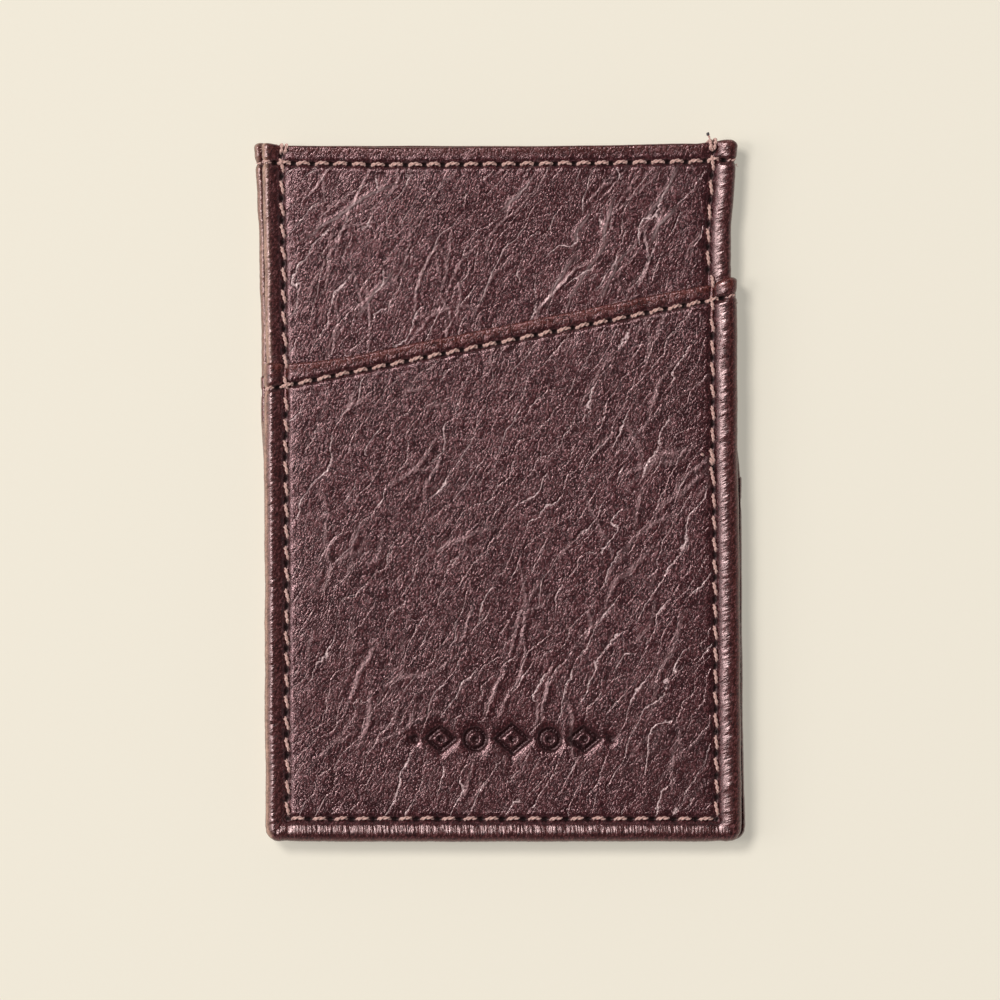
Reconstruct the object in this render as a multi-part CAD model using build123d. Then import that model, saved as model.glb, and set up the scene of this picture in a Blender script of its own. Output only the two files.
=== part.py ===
"""Slim vertical card wallet in turned-edge leather, lying flat with its front face up.

Two boards, front and rear, are sewn together along the left, bottom and right edges, so the
middle card slot opens at the mouth, +Y. Each board is a full-height panel that carries a
pocket with a slanted mouth. A panel and a pocket are each leather over a thin stiffener and
a lining. The leather is turned in round the edges and skived thin where it is turned.

Row frame: X across the wallet, +Y towards the mouth, +Z up through the front face. The
origin is at the centre of the outline, on the face that the wallet rests on.
"""
import os
from math import atan2, degrees, hypot

from build123d import *

# Outline, mm. A card is 85.6 x 54.0 x 0.76.
WIDTH = 69.0  # across the pocket leather
LENGTH = 100.0  # bottom edge to the thread that is looped over the mouth edge
CORNER = 2.0  # plan radius of the two bottom corners
MOUTH_CORNER = 0.6  # plan radius of the two mouth corners

# Thickness of each layer, mm
LEATHER = 0.55
TURNED = 0.25  # the leather's skived margin, where it is turned in
STIFFENER = 0.2
LINING = 0.15
GLUE = 0.02  # film between two layers
POCKET_GAP = 0.15  # an empty pocket, between the panel and the pocket's lining
WALL = 0.45  # the leather round a folded edge
CLEAR = 0.05  # between a stiffener or lining and the fold beside it

# Folds and margins, mm
TURN_WIDTH = 5.0  # turned-in margin at the sides and the bottom
HEM_WIDTH = 8.0  # turned-in hem at the mouth of a panel or a pocket
LINING_SHORT = 1.0  # the lining stops this far below a mouth edge
POCKET_ROLL = 0.8  # outside radius of the pocket's folded edge
PANEL_ROLL = 0.5  # outside radius of the panel's folded edge

# Heights of the layers in a board, from the wallet's mid-plane outwards, mm
Z_POCKET_TURN = GLUE / 2
Z_PANEL_TURN = Z_POCKET_TURN + TURNED + GLUE
Z_PANEL_LINING = Z_PANEL_TURN + TURNED + GLUE
Z_PANEL_STIFFENER = Z_PANEL_LINING + LINING + GLUE
Z_PANEL_LEATHER = Z_PANEL_STIFFENER + STIFFENER + GLUE
Z_PANEL_FACE = Z_PANEL_LEATHER + LEATHER
Z_POCKET_LINING = Z_PANEL_FACE + POCKET_GAP
Z_POCKET_STIFFENER = Z_POCKET_LINING + LINING + GLUE
Z_POCKET_LEATHER = Z_POCKET_STIFFENER + STIFFENER + GLUE
Z_POCKET_FACE = Z_POCKET_LEATHER + LEATHER
MID = Z_POCKET_FACE  # height of the mid-plane over the face that the wallet rests on

# A pocket's mouth as its own viewer sees it: height at the middle and slope of the straight
# part. The last stretch at the viewer's left eases upwards by MOUTH_EASE.
FRONT_MOUTH = (23.77, 0.1968)
REAR_MOUTH = (8.71, 0.2263)
EASE_FROM = -20.0  # x where the easing starts
MOUTH_EASE = 1.4  # how far the mouth has eased up at the left edge

# Seams, mm
LEFT_SEAM_X = -31.4
RIGHT_SEAM_X = 30.9
BOTTOM_SEAM_Y = -46.9
# y of the hole just below each pocket mouth, and of the last hole at the wallet's mouth
LEFT_SEAM_STEPS = ((17.2, 21), (48.3, 10))  # (y reached, stitches to reach it)
RIGHT_SEAM_STEPS = ((28.6, 24), (48.3, 6))
BOTTOM_STITCHES = 20
HEM_PITCH = 2.7  # stitch length along x in the mouth and pocket hems
MOUTH_SEAM_DROP = 2.6  # mouth seam below the mouth edge
POCKET_SEAM_DROP = 2.35  # pocket seam below the straight part of the pocket's mouth
MOUTH_HOLES = 12  # holes each side of the middle one
POCKET_SEAM_START = -32.6  # x of the pocket seam's first hole, as its viewer sees it
POCKET_STITCHES = 24

# Thread and needle holes, mm
HOLE_R = 0.475
THREAD = 0.34  # width of a stitch
LEG = 0.2  # thickness of a stitch's leg, along the seam
LEG_IN = 0.27  # a leg stands this far from its hole's centre, towards its own stitch
CROWN = 0.25  # height of a stitch over its groove
PRESSED = 0.1  # height of a stitch pressed flat, on a lining or where two stitches cross
GROOVE_WIDTH = 0.6
GROOVE_DEPTH = 0.27
LOOP_THREAD = 0.3  # thickness of the loop over the mouth edge
LEG_GAP = 0.1  # the needle and bobbin legs stop this far from the mid-plane

MOUTH_EDGE = LENGTH / 2 - LOOP_THREAD - CLEAR
MOUTH_SEAM_Y = MOUTH_EDGE - MOUTH_SEAM_DROP
PANEL_IN = WALL + GLUE  # the panel lies this far inside the pocket leather's edge
PANEL_LAYER_IN = PANEL_IN + WALL + CLEAR  # a panel's stiffener and lining
POCKET_LAYER_IN = WALL + CLEAR  # a pocket's stiffener and lining
FRONT = Pos(0, 0, MID)  # a board is drawn about the mid-plane, facing +Z
REAR = Pos(0, 0, MID) * Rot(0, 180, 0)


# --- outlines ---------------------------------------------------------------------------


def mouth_line(mouth, x):
    """Height of the straight part of a pocket's mouth at x."""
    middle, slope = mouth
    return middle + slope * x


def mouth_height(mouth, x):
    """Height of a pocket's mouth edge at x, with the easing at the left."""
    eased = max(0.0, (EASE_FROM - x) / (EASE_FROM + WIDTH / 2))
    return mouth_line(mouth, x) + MOUTH_EASE * eased**2


def panel_outline(inset, top_inset=0.0):
    """A panel's outline, moved in by inset at the sides and bottom and top_inset at the mouth."""
    low, high = -LENGTH / 2 + inset, MOUTH_EDGE - top_inset
    outline = Pos(0, (low + high) / 2) * Rectangle(WIDTH - 2 * inset, high - low)
    corners = outline.vertices().sort_by(Axis.Y)
    outline = fillet(corners[:2], CORNER - min(inset, CORNER / 2))
    return fillet(outline.vertices().sort_by(Axis.Y)[-2:], MOUTH_CORNER)


def below_mouth(mouth, drop=0.0):
    """Everything below a pocket's mouth, lowered by drop, and past the wallet's other edges."""
    reach = WIDTH / 2 + CORNER
    bottom = -LENGTH / 2 - CORNER
    start = (EASE_FROM, mouth_line(mouth, EASE_FROM) - drop)
    left = (-reach, mouth_height(mouth, -reach) - drop)
    right = (reach, mouth_line(mouth, reach) - drop)
    edges = Polyline(start, right, (reach, bottom), (-reach, bottom), left)
    edges += TangentArc(start, left, tangent=(-1, -mouth[1]))
    return make_face(edges)


def pocket_outline(mouth, inset, drop=0.0):
    """A pocket's outline, moved in by inset, with its mouth lowered by drop."""
    return panel_outline(inset) & below_mouth(mouth, drop)


def sheet(outline, low, high):
    """A flat solid of that outline between two heights."""
    return extrude(Pos(0, 0, low) * outline, high - low)


def slab(x0, x1, y0, y1, z0, z1):
    """A box between two corners."""
    middle = Pos((x0 + x1) / 2, (y0 + y1) / 2, (z0 + z1) / 2)
    return middle * Box(x1 - x0, y1 - y0, z1 - z0)


def round_rim(solid, height, radius):
    """Rounds the outer rim of a flat solid's face at that height."""
    rim = solid.faces().filter_by(Plane.XY).sort_by(lambda f: abs(f.center().Z - height))[0]
    return fillet(rim.edges(), radius)


# --- leather ----------------------------------------------------------------------------


def three_sides(ring):
    """Cuts a turned-in ring at its two bottom corners into left, bottom and right strips."""
    reach = WIDTH
    corner_x, corner_y = WIDTH / 2, -LENGTH / 2
    wedge = Polyline(
        (-corner_x - reach, corner_y - reach),
        (0, corner_y + corner_x),
        (corner_x + reach, corner_y - reach),
        close=True,
    )
    under = extrude(Pos(0, 0, -MID) * make_face(wedge), 2 * MID)
    bottom = ring & under
    sides = ring - under
    return [bottom, *sides.solids()]


def panel_leather():
    """The panel's face with its mouth hem, then the strips turned in round its edges."""
    outline = panel_outline(PANEL_IN)
    face = sheet(outline, Z_PANEL_LEATHER, Z_PANEL_FACE)
    hem = sheet(outline, Z_PANEL_STIFFENER, Z_PANEL_LEATHER)
    half = WIDTH / 2 - PANEL_LAYER_IN
    hem &= slab(-half, half, MOUTH_EDGE - HEM_WIDTH, LENGTH, 0, MID)
    face = round_rim(face, Z_PANEL_FACE, PANEL_ROLL) + hem
    ring = sheet(outline, Z_PANEL_TURN, Z_PANEL_LEATHER)
    ring = round_rim(ring, Z_PANEL_TURN, PANEL_ROLL)
    ring -= sheet(panel_outline(PANEL_IN + WALL, -1), Z_PANEL_TURN + TURNED, Z_PANEL_LEATHER)
    ring -= sheet(panel_outline(TURN_WIDTH, -1), 0, Z_PANEL_LEATHER)
    under_lining = Z_PANEL_LINING - PRESSED - 2 * GLUE
    half = MOUTH_HOLES * HEM_PITCH
    y0, y1 = MOUTH_SEAM_Y - GROOVE_WIDTH / 2, MOUTH_SEAM_Y + GROOVE_WIDTH / 2
    ring -= slab(-half, half, y0, y1, under_lining, Z_PANEL_LEATHER)
    return [face, *three_sides(ring)]


def pocket_leather(mouth):
    """The pocket's face with its mouth hem, then the strips turned in round the panel."""
    body = sheet(panel_outline(0), Z_POCKET_TURN, Z_POCKET_FACE)
    body = round_rim(body, Z_POCKET_FACE, POCKET_ROLL)
    body = round_rim(body, Z_POCKET_TURN, POCKET_ROLL)
    body &= sheet(below_mouth(mouth), 0, MID)
    face = body & slab(-WIDTH, WIDTH, -LENGTH, LENGTH, Z_POCKET_LEATHER, MID)
    hem = sheet(below_mouth(mouth), Z_POCKET_STIFFENER, Z_POCKET_LEATHER)
    hem -= sheet(below_mouth(mouth, HEM_WIDTH), 0, MID)
    half = WIDTH / 2 - WALL
    hem &= slab(-half, half, -LENGTH, LENGTH, 0, MID)
    ring = body & slab(-WIDTH, WIDTH, -LENGTH, LENGTH, 0, Z_POCKET_LEATHER)
    ring -= sheet(panel_outline(WALL, -1), Z_POCKET_TURN + TURNED, MID)
    ring -= sheet(panel_outline(TURN_WIDTH, -1), 0, MID)
    return [face + hem, *three_sides(ring)]


# --- stiffeners and linings -------------------------------------------------------------


def panel_stiffener():
    """The board in a panel, from its bottom fold up to its mouth hem."""
    outline = panel_outline(PANEL_LAYER_IN, HEM_WIDTH + CLEAR)
    return sheet(outline, Z_PANEL_STIFFENER, Z_PANEL_STIFFENER + STIFFENER)


def panel_lining():
    """The cloth inside a panel."""
    outline = panel_outline(PANEL_LAYER_IN, LINING_SHORT)
    return sheet(outline, Z_PANEL_LINING, Z_PANEL_LINING + LINING)


def pocket_stiffener(mouth):
    """The board in a pocket, from its bottom fold up to its mouth hem."""
    outline = pocket_outline(mouth, POCKET_LAYER_IN, HEM_WIDTH + CLEAR)
    return sheet(outline, Z_POCKET_STIFFENER, Z_POCKET_STIFFENER + STIFFENER)


def pocket_lining(mouth):
    """The cloth inside a pocket."""
    outline = pocket_outline(mouth, POCKET_LAYER_IN, LINING_SHORT)
    return sheet(outline, Z_POCKET_LINING, Z_POCKET_LINING + LINING)


# --- seams ------------------------------------------------------------------------------


def between(start, end, count):
    """count + 1 points from start to end, evenly spaced."""
    steps = [i / count for i in range(count + 1)]
    return [tuple(a + (b - a) * s for a, b in zip(start, end)) for s in steps]


def side_holes(x, steps):
    """Holes of a side seam from the bottom corner up."""
    holes = [(x, BOTTOM_SEAM_Y)]
    for reached, count in steps:
        holes += between(holes[-1], (x, reached), count)[1:]
    return holes


def edge_holes():
    """Holes of the seam round three edges: down the left, along the bottom, up the right."""
    left = side_holes(LEFT_SEAM_X, LEFT_SEAM_STEPS)[::-1]
    corner = (RIGHT_SEAM_X, BOTTOM_SEAM_Y)
    bottom = between(left[-1], corner, BOTTOM_STITCHES)
    return left + bottom[1:] + side_holes(RIGHT_SEAM_X, RIGHT_SEAM_STEPS)[1:]


def mouth_holes():
    """Holes of the seam along a panel's mouth."""
    return [(k * HEM_PITCH, MOUTH_SEAM_Y) for k in range(-MOUTH_HOLES, MOUTH_HOLES + 1)]


def pocket_holes(mouth):
    """Holes of the seam along a pocket's mouth."""
    xs = [POCKET_SEAM_START + k * HEM_PITCH for k in range(POCKET_STITCHES + 1)]
    return [(x, mouth_line(mouth, x) - POCKET_SEAM_DROP) for x in xs]


def needle_holes(points):
    """Cylinders right through a board at each point."""
    return [Pos(x, y, 0) * Cylinder(HOLE_R, 4 * MID) for x, y in points]


def groove(start, end, face):
    """The channel that a line of stitches lies in, cut down from a face."""
    length, turn, middle = span(start, end)
    box = Box(length + GROOVE_WIDTH, GROOVE_WIDTH, 2 * GROOVE_DEPTH)
    return Pos(*middle, face) * Rot(0, 0, turn) * box


def span(start, end):
    """Length, direction in degrees and middle of the line between two points."""
    dx, dy = end[0] - start[0], end[1] - start[1]
    middle = ((start[0] + end[0]) / 2, (start[1] + end[1]) / 2)
    return hypot(dx, dy), degrees(atan2(dy, dx)), middle


def stitch(start, end, outer, inner, foot):
    """One stitch: a crown from its outer to its inner height and a leg down each hole."""
    length, turn, middle = span(start, end)
    far, near = length / 2 - LEG_IN + LEG / 2, length / 2 - LEG_IN - LEG / 2
    right = [(far, outer), (far, foot), (near, foot), (near, inner)]
    left = [(-x, z) for x, z in reversed(right)]
    profile = make_face(Polyline(*right, *left, close=True))
    solid = extrude(Plane.XZ * profile, THREAD / 2, both=True)
    return Pos(*middle) * Rot(0, 0, turn) * solid


def edge_stitches(holes, mouth):
    """The edge seam's stitches on one board. They climb on to the pocket at its mouth, and
    are pressed flat over the hem seams that they cross."""
    solids = []
    for start, end in zip(holes, holes[1:]):
        low, high = sorted((start, end), key=lambda p: p[1])
        on_pocket = low[1] < mouth_height(mouth, low[0])
        face = Z_POCKET_FACE if on_pocket else Z_PANEL_FACE
        seam = mouth_line(mouth, low[0]) - POCKET_SEAM_DROP if on_pocket else MOUTH_SEAM_Y
        height = PRESSED if low[1] < seam < high[1] else CROWN
        solids.append(stitch(start, end, face, face - height, LEG_GAP))
    return solids


def mouth_loop(hole):
    """The stitch that binds both boards over the mouth edge at an end of the edge seam."""
    x, y = hole
    x0, x1 = x - THREAD / 2, x + THREAD / 2
    leg_y, over_y = y + LEG_IN - LEG / 2, MOUTH_EDGE + CLEAR
    top = Z_PANEL_FACE + LOOP_THREAD
    run = slab(x0, x1, leg_y, over_y + LOOP_THREAD, Z_PANEL_FACE, top)
    run += slab(x0, x1, leg_y, leg_y + LEG, LEG_GAP, Z_PANEL_FACE)
    over = slab(x0, x1, over_y, over_y + LOOP_THREAD, -top, top)
    return run + over + Pos(2 * x, 0, 0) * Rot(0, 180, 0) * run


def hem_stitches(holes, face, lining):
    """(needle stitches, bobbin stitches) of a hem seam. The first and last needle stitches are
    pressed flat under the edge seam."""
    inside = lining - GLUE
    middle = (face + inside) / 2
    needle, bobbin = [], []
    for start, end in zip(holes, holes[1:]):
        under_edge_seam = start == holes[0] or end == holes[-1]
        outer = face - CROWN + PRESSED if under_edge_seam else face
        needle.append(stitch(start, end, outer, face - CROWN, middle + LEG_GAP / 2))
        bobbin.append(stitch(start, end, inside - PRESSED, inside, middle - LEG_GAP / 2))
    return needle, bobbin


# --- assembly ---------------------------------------------------------------------------


def pierced(solids, tools):
    """Each solid with the tools cut out of it."""
    return [piece for solid in solids for piece in (solid - tools).solids()]


def seam_grooves(mouth, left_x, right_x):
    """(grooves in the panel's face, grooves in the pocket's face) of one board."""
    seam = pocket_holes(mouth)
    hem = mouth_holes()
    on_panel = [groove(hem[0], hem[-1], Z_PANEL_FACE)]
    on_pocket = [groove(seam[0], seam[-1], Z_POCKET_FACE)]
    on_pocket.append(groove((left_x, BOTTOM_SEAM_Y), (right_x, BOTTOM_SEAM_Y), Z_POCKET_FACE))
    for x in (left_x, right_x):
        edge = mouth_height(mouth, x)
        on_panel.append(groove((x, edge + GROOVE_WIDTH), (x, LENGTH / 2), Z_PANEL_FACE))
        on_pocket.append(groove((x, BOTTOM_SEAM_Y), (x, edge), Z_POCKET_FACE))
    return on_panel, on_pocket


def board(side, place, mouth, holes):
    """{node: solids} of one board, put in its place in the wallet."""
    xs = [x for x, _ in holes]
    on_panel, on_pocket = seam_grooves(mouth, min(xs), max(xs))
    through = needle_holes(holes)
    panel_tools = through + needle_holes(mouth_holes())
    pocket_tools = through + needle_holes(pocket_holes(mouth))
    needle_m, bobbin_m = hem_stitches(mouth_holes(), Z_PANEL_FACE, Z_PANEL_LINING)
    needle_p, bobbin_p = hem_stitches(pocket_holes(mouth), Z_POCKET_FACE, Z_POCKET_LINING)
    nodes = {
        "panel_leather": pierced(panel_leather(), panel_tools + on_panel),
        "panel_stiffener": pierced([panel_stiffener()], panel_tools),
        "panel_lining": pierced([panel_lining()], panel_tools),
        "pocket_leather": pierced(pocket_leather(mouth), pocket_tools + on_pocket),
        "pocket_stiffener": pierced([pocket_stiffener(mouth)], pocket_tools),
        "pocket_lining": pierced([pocket_lining(mouth)], pocket_tools),
        "mouth_seam_needle_thread": needle_m,
        "mouth_seam_bobbin_thread": bobbin_m,
        "pocket_seam_needle_thread": needle_p,
        "pocket_seam_bobbin_thread": bobbin_p,
    }
    return {f"{side}_{name}": [place * s for s in made] for name, made in nodes.items()}


def wallet():
    """{node: solids} of the whole wallet."""
    front_holes = edge_holes()
    rear_holes = [(-x, y) for x, y in front_holes]
    nodes = board("front", FRONT, FRONT_MOUTH, front_holes)
    nodes |= board("rear", REAR, REAR_MOUTH, rear_holes)
    needle = edge_stitches(front_holes, FRONT_MOUTH)
    needle += [mouth_loop(front_holes[0]), mouth_loop(front_holes[-1])]
    bobbin = edge_stitches(rear_holes, REAR_MOUTH)
    nodes["edge_seam_needle_thread"] = [FRONT * s for s in needle]
    nodes["edge_seam_bobbin_thread"] = [REAR * s for s in bobbin]
    return nodes


def main():
    os.makedirs("parts", exist_ok=True)
    for name, solids in wallet().items():
        flat = [s for made in solids for s in made.solids()]
        export_step(Compound(children=flat), f"parts/{name}.step")
        print(name, len(flat), "solids")


main()
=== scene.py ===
"""Looks of a slim leather card wallet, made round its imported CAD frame.

Shapes are worked out in millimetres, in the CAD's own frame, and become metres when a mesh is
made. A board is the front or the rear half of the wallet. Its pieces are drawn as its own
viewer sees them: a across, b up and a height over the wallet's mid-plane.
"""
from math import cos, pi, radians, sin

import bpy
import numpy as np
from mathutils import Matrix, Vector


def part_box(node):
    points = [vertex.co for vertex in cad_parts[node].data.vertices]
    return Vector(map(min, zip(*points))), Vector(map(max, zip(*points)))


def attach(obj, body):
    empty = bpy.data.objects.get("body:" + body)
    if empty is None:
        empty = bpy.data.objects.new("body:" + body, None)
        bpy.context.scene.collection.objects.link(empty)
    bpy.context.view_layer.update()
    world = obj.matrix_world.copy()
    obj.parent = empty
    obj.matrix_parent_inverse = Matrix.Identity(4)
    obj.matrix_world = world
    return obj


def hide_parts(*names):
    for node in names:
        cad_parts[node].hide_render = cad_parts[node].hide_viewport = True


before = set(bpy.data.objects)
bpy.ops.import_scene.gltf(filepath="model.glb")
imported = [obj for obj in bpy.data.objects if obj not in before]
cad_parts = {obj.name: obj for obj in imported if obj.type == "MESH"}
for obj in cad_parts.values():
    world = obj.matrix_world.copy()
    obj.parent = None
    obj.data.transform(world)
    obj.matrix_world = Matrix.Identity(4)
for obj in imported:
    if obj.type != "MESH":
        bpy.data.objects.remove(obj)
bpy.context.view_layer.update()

MM = 0.001

# --- dimensions, mm ---------------------------------------------------------------------


def cad_box(node):
    """Lowest and highest corners of a CAD node, in mm."""
    low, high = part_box(node)
    return np.array(low) / MM, np.array(high) / MM


POCKET_LOW, POCKET_HIGH = cad_box("front_pocket_leather")
PANEL_LOW, PANEL_HIGH = cad_box("front_panel_leather")
MID = POCKET_HIGH[2] / 2  # the mid-plane, between the two boards
POCKET_FACE = POCKET_HIGH[2] - MID
PANEL_FACE = PANEL_HIGH[2] - MID
PANEL_UNDER = PANEL_LOW[2] - MID
POCKET_HALF = POCKET_HIGH[0]
PANEL_HALF = PANEL_HIGH[0]
BOTTOM = POCKET_LOW[1]
PANEL_BOTTOM = PANEL_LOW[1]
MOUTH_EDGE = PANEL_HIGH[1]

CORNER = 2.0  # plan radius of the bottom corners
HEM = 0.7  # thickness of a folded mouth edge
FOLD = HEM / 2  # radius of its fold

# The blind-tooled ornament low on the front pocket: centre, and half its width and height
ORNAMENT = (1.3, -35.4)
ORNAMENT_HALF = (14.6, 2.6)

# A pocket's mouth: height at the middle, slope, and how far it eases up at the viewer's left
POCKET_MOUTH = {"front": (23.77, 0.1968), "rear": (8.71, 0.2263)}
EASE_FROM = -20.0
MOUTH_EASE = 1.4

# Seams
LEFT_SEAM_X = -31.4
RIGHT_SEAM_X = 30.9
BOTTOM_SEAM_Y = -46.9
SEAM_TOP = 48.3
LEFT_SEAM_STEPS = ((17.2, 21), (SEAM_TOP, 10))  # (y reached, stitches to reach it)
RIGHT_SEAM_STEPS = ((28.6, 24), (SEAM_TOP, 6))
BOTTOM_STITCHES = 20
HEM_PITCH = 2.7
MOUTH_SEAM_DROP = 2.6
POCKET_SEAM_DROP = 2.35
MOUTH_HOLES = 12
POCKET_SEAM_START = -32.6
POCKET_STITCHES = 24
SEAM_VALLEY = 0.19  # depth that a seam pulls the leather down by
SEAM_REACH = 0.7  # how far to the side that fades
MOUTH_SEAM_Y = MOUTH_EDGE - MOUTH_SEAM_DROP

# How the used wallet has settled, mm: shifts of the left and right edges at heights y
FRONT_SHIFTS = (
    (50, 0.0, -0.1), (46, 0.15, -0.5), (36, 0.35, -1.1), (30.5, 0.45, -1.1),
    (12, 0.8, -0.7), (-15, 0.9, -0.1), (-50, 1.0, 0.15),
)
FRONT_POCKET_SHIFTS = ((50, 0.55, -0.5), (28, 0.55, -0.5), (12, 0.8, -0.45), (-15, 0.9, -0.1),
                       (-50, 1.0, 0.15))
REAR_SHIFTS = (
    (50, -1.0, -0.6), (42, -0.5, -1.1), (33, -0.15, -1.2), (20, 0.1, -0.7), (12, 0.15, -0.6),
    (2, 0.6, 0.2), (-15, 0.85, 0.25), (-35, 0.85, 0.45), (-50, 0.9, 0.75),
)
# Rise of the front panel's mouth edge at x
MOUTH_RISE = ((-34, 0.2), (-29, 0.06), (-14, -0.23), (0, -0.09), (14, 0.06), (28, 0.34),
              (31, 0.7), (33, 0.55), (35, 0.1))


# --- noise ------------------------------------------------------------------------------


def noise(x, y, seed):
    """Smooth gradient noise from about -1 to 1, with features one unit across."""
    rng = np.random.default_rng(seed)
    angle = rng.uniform(0, 2 * pi, (256, 256))
    gx, gy = np.cos(angle), np.sin(angle)
    x0, y0 = np.floor(x).astype(int), np.floor(y).astype(int)
    fx, fy = x - x0, y - y0
    wx = fx**3 * (fx * (6 * fx - 15) + 10)
    wy = fy**3 * (fy * (6 * fy - 15) + 10)

    def corner(i, j):
        row, column = (x0 + i) % 256, (y0 + j) % 256
        return gx[row, column] * (fx - i) + gy[row, column] * (fy - j)

    low = corner(0, 0) * (1 - wx) + corner(1, 0) * wx
    high = corner(0, 1) * (1 - wx) + corner(1, 1) * wx
    return 1.5 * (low * (1 - wy) + high * wy)


def bell(d, width):
    """1 at d = 0, falling smoothly to nothing over about two widths."""
    return np.exp(-((d / width) ** 2))


def ramp(value, start, end):
    """0 at start, 1 at end, eased at both."""
    t = np.clip((value - start) / (end - start), 0, 1)
    return t * t * (3 - 2 * t)


def eased(x, knots):
    """A curve through (x, value) knots, level at each."""
    knots = sorted(knots)
    xs, values = [k[0] for k in knots], [k[1] for k in knots]
    out = np.full(np.shape(x), float(values[0]))
    for x0, x1, v0, v1 in zip(xs, xs[1:], values, values[1:]):
        out = out + (v1 - v0) * ramp(x, x0, x1)
    return out


# --- the two boards' surfaces -----------------------------------------------------------


def mouth_line(side, a):
    """Height of the straight part of a pocket's mouth."""
    middle, slope = POCKET_MOUTH[side]
    return middle + slope * a


def mouth_height(side, a):
    """Height of a pocket's mouth edge, with the easing at the left."""
    rise = np.maximum(0.0, (EASE_FROM - a) / (EASE_FROM + POCKET_HALF))
    return mouth_line(side, a) + MOUTH_EASE * rise**2


class Skin:
    """A leather skin, unrolled: across its face, over its folded edges and in underneath."""

    def __init__(self, side, layer, half, bottom, face, under, roll, roll_under, tuck):
        """half, bottom, face and under are its outline and heights, roll and roll_under the
        radii that its edge turns down and under by, and tuck how far it then reaches in."""
        self.side, self.layer = side, layer
        self.half, self.bottom, self.face = half, bottom, face
        self.flat_half, self.flat_bottom = half - CORNER, bottom + CORNER
        flat, wall = CORNER - roll, face - roll - under - roll_under
        runs = [0, flat, roll * pi / 2, wall, roll_under * pi / 2, tuck]
        stops = np.cumsum(runs)
        self.length = np.linspace(0, stops[-1], 600)
        self.turn = np.interp(self.length, stops, [0, 0, pi / 2, pi / 2, pi, pi])
        step = self.length[1]
        middle = (self.turn[1:] + self.turn[:-1]) / 2
        self.out = np.append(0, np.cumsum(np.cos(middle) * step))
        self.drop = np.append(0, np.cumsum(np.sin(middle) * step))
        self.reach = stops[-1]

    def mouth(self, a):
        """Height of this skin's mouth edge."""
        if self.layer == "pocket":
            return mouth_height(self.side, a)
        return np.full(np.shape(a), MOUTH_EDGE)

    def place(self, a, b, past=0.0, lift=0.0):
        """Points and normals at a, b. past is the distance over the mouth's fold, and lift the
        height over the leather."""
        a, b, past = np.broadcast_arrays(np.asarray(a, float), b, past)
        bend = np.clip(past / FOLD, 0, pi)
        b = b + FOLD * np.sin(bend) - np.maximum(past - pi * FOLD, 0)
        side_over = np.maximum(np.abs(a) - self.flat_half, 0)
        foot_over = np.maximum(self.flat_bottom - b, 0)
        over = np.maximum(side_over, foot_over)
        safe = np.where(over > 0, over, 1)
        by_side = pi / 4 * foot_over / safe
        by_foot = pi / 2 - pi / 4 * side_over / safe
        angle = np.where(side_over >= foot_over, by_side, by_foot)
        dx, dy = np.cos(angle) * np.sign(a), -np.sin(angle)
        radius = np.interp(over, self.length, self.out)
        turn = np.interp(over, self.length, self.turn)
        height = self.face - np.interp(over, self.length, self.drop)
        x = np.clip(a, -self.flat_half, self.flat_half) + dx * radius
        y = np.maximum(b, self.flat_bottom) + dy * radius
        normal = np.stack([dx * np.sin(turn), dy * np.sin(turn), np.cos(turn)], -1)
        point = np.stack([x, y, height], -1) - normal * (FOLD * (1 - np.cos(bend)))[..., None]
        normal = normal * np.cos(bend)[..., None]
        normal[..., 1] += np.sin(bend)
        return point + normal * np.asarray(lift)[..., None], normal


def pocket_skin(side):
    """A pocket's skin: its margins reach almost to the other board."""
    return Skin(side, "pocket", POCKET_HALF, BOTTOM, POCKET_FACE, under=0.04,
                roll=1.15, roll_under=0.5, tuck=0.6)


def panel_skin(side):
    """A panel's skin: its margins are turned in under the board."""
    return Skin(side, "panel", PANEL_HALF, PANEL_BOTTOM, PANEL_FACE, under=PANEL_UNDER,
                roll=0.6, roll_under=0.45, tuck=2.5)


def settled(side, layer, points):
    """Moves points of a true wallet to where they lie in this used one, in the wallet's frame."""
    x, y, z = points[..., 0], points[..., 1], points[..., 2]
    if side == "rear":
        x, z = -x, -z
    shifts = FRONT_SHIFTS if side == "front" else REAR_SHIFTS
    if (side, layer) == ("front", "pocket"):
        shifts = FRONT_POCKET_SHIFTS
    left = eased(y, [(k[0], k[1]) for k in shifts])
    right = eased(y, [(k[0], k[2]) for k in shifts])
    across = np.clip((x + POCKET_HALF) / (2 * POCKET_HALF), 0, 1)
    wander = 0.09 * noise(y / 9 + 7, across * 2 + (5 if side == "front" else 40), 11)
    x = x + left * (1 - across) + right * across + wander
    near_mouth = ramp(y, 38, 50)
    rise = eased(x, MOUTH_RISE) if side == "front" else 0.08
    y = y + rise * near_mouth + 0.05 * noise(x / 8, y / 60 + 3, 12)
    gape = np.cos(np.clip(x / PANEL_HALF, -1, 1) * pi / 2) ** 2 * ramp(y, 22, 50)
    z = z + gape * (0.35 if side == "front" else -0.3)
    return np.stack([x, y, z + MID], -1)


# --- seams ------------------------------------------------------------------------------


def between(start, end, count):
    """count + 1 points from start to end."""
    return [tuple(a + (b - a) * i / count for a, b in zip(start, end)) for i in range(count + 1)]


def side_holes(x, steps):
    """Holes of a side seam from the bottom corner up."""
    holes = [(x, BOTTOM_SEAM_Y)]
    for reached, count in steps:
        holes += between(holes[-1], (x, reached), count)[1:]
    return holes


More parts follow.
